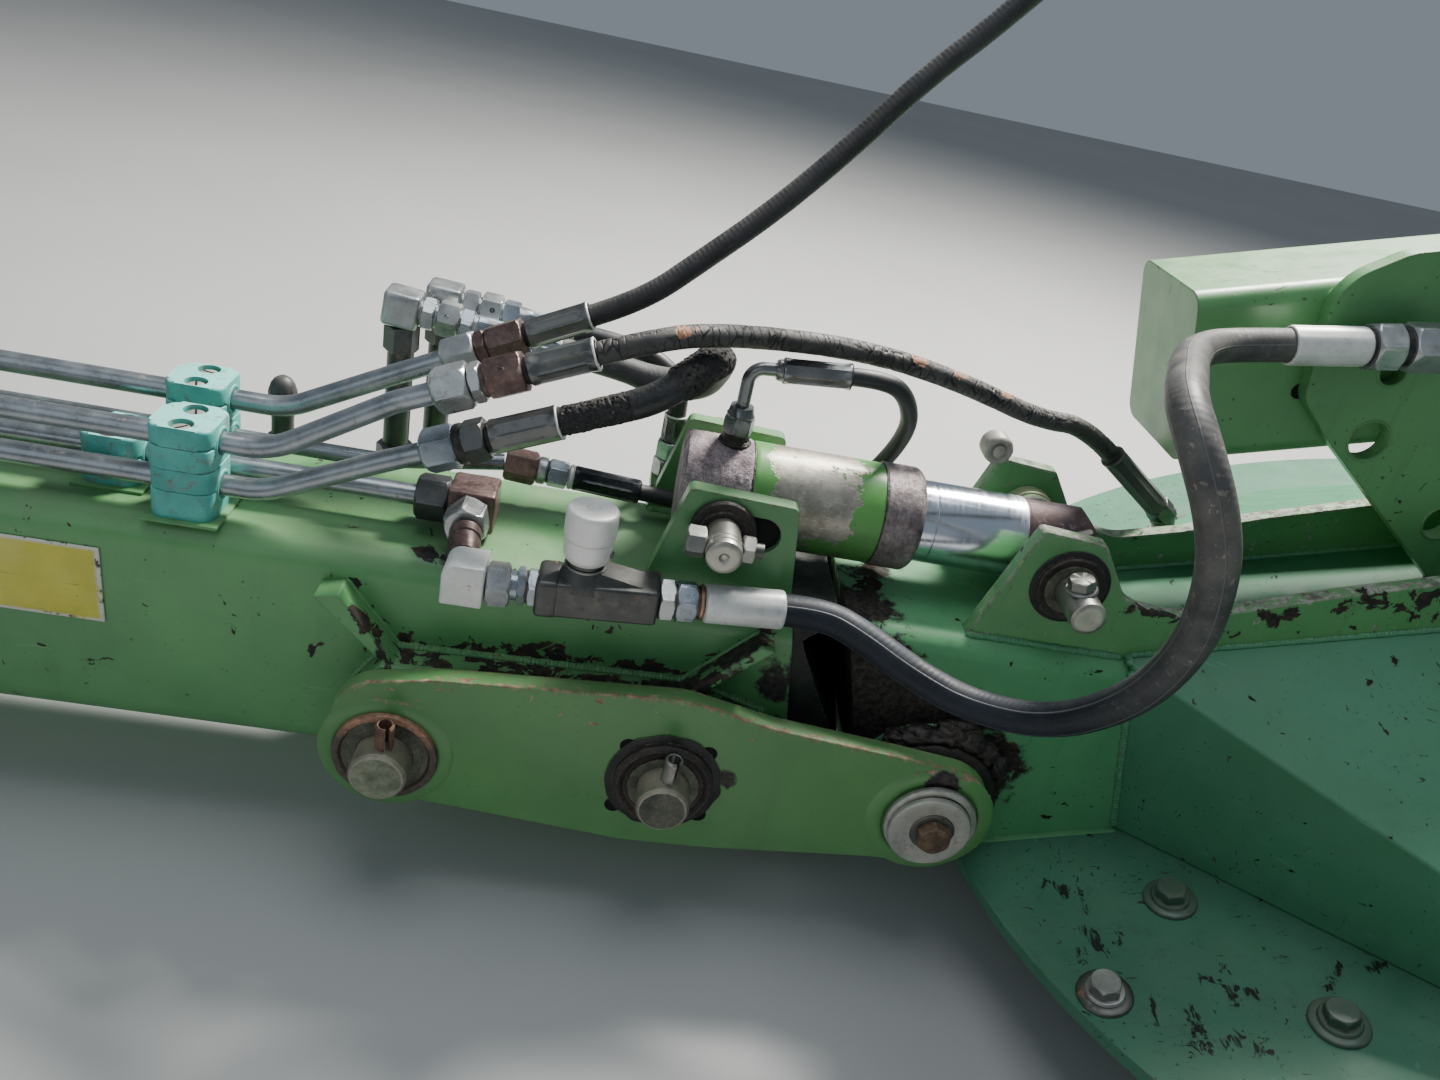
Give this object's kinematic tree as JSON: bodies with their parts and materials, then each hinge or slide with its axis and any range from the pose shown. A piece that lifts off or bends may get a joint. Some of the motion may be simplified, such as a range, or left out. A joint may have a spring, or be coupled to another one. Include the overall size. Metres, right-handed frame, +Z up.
{
  "type": "rotary rake arm joint",
  "caption": "Hinged joint between a rotary rake's carrying boom and its rotor head, with lift cylinder, link plates, pipes and hoses.",
  "frame": {"origin": "centre of the outer face of the boom's end flange", "axes": "+X along the boom towards the head, +Y away from the side shown in the picture, +Z up from the boom's top"},
  "size_m": [1.935, 1.024, 0.7739],
  "materials": {
    "green_paint": "satin",
    "worn_green": "worn",
    "bare_steel": "worn",
    "zinc": "satin",
    "rusty_steel": "worn",
    "dark_steel": "satin",
    "chrome": "polished",
    "black_rubber": "matte",
    "clamp_plastic": "matte",
    "yellow_plate": "satin",
    "black_plastic": "matte",
    "valve_alloy": "satin"
  },
  "bodies": {
    "boom": {"boom_tube": "green_paint", "boom_flange": "green_paint", "link_cheeks": "green_paint", "link_plate_front": "green_paint", "link_plate_rear": "green_paint", "boom_ears": "green_paint", "link_pins": "bare_steel", "hinge_pin": "bare_steel", "hinge_washers": "bare_steel", "base_pin": "bare_steel", "base_pin_rings": "bare_steel", "pin_washers": "rusty_steel", "union_hexes": "rusty_steel", "tee_block": "rusty_steel", "pipes": "zinc", "pipe_left_nuts": "zinc", "union_nuts": "zinc", "union_sleeves": "zinc", "hose_ferrules": "zinc", "elbow_block": "zinc", "valve_nuts": "zinc", "valve_unions": "zinc", "rear_elbows": "zinc", "upper_far_fitting": "zinc", "tee_hexes": "dark_steel", "tee_sleeve": "dark_steel", "valve_body": "dark_steel", "hose_upper": "black_rubber", "hose_long": "black_rubber", "hose_loop": "black_rubber", "hose_back": "black_rubber", "hose_main": "black_rubber", "port_hose": "black_rubber", "pipe_clamps": "clamp_plastic", "sticker_plate": "yellow_plate", "breather_cap": "black_plastic", "valve_knob": "valve_alloy"},
    "barrel": {"cylinder_base": "rusty_steel", "cylinder_barrel": "worn_green", "cylinder_gland": "rusty_steel", "port_fitting": "zinc", "port_elbow": "zinc", "port_ferrule": "zinc"},
    "rod": {"cylinder_rod": "chrome", "rod_eye": "rusty_steel"},
    "head": {"head_box": "green_paint", "hinge_bosses": "rusty_steel", "head_wall_front": "green_paint", "head_wall_rear": "green_paint", "rod_pin_spacers": "green_paint", "shell_cover": "green_paint", "base_plate": "green_paint", "carrier_plate": "green_paint", "carrier_beam": "green_paint", "rod_pin": "bare_steel", "rod_pin_washers": "bare_steel", "main_far_ferrule": "zinc", "main_far_nut": "zinc", "head_pipe": "zinc", "long_far_fitting": "zinc"}
  },
  "joints": [
    {"name": "head_hinge", "type": "hinge", "parent": "boom", "child": "head", "pos_m": [0.912, 0, -0.0395], "axis": [0, 1, 0], "range_deg": [-12, 4], "deforming": ["hose_main", "hose_long"]},
    {"name": "barrel_hinge", "type": "hinge", "parent": "boom", "child": "barrel", "pos_m": [0.729, 0, 0.137], "axis": [0, 1, 0], "range_deg": [-4, 4], "deforming": ["port_hose"]},
    {"name": "rod_slide", "type": "slide", "parent": "barrel", "child": "rod", "axis": [1, 0, -0.0022], "range_m": [-0.045, 0.03]}
  ],
  "couplings": [
    {"joint": "barrel_hinge", "follows": "head_hinge", "ratio": 0.2},
    {"joint": "rod_slide", "follows": "head_hinge", "m_per_rad": 0.1788}
  ]
}
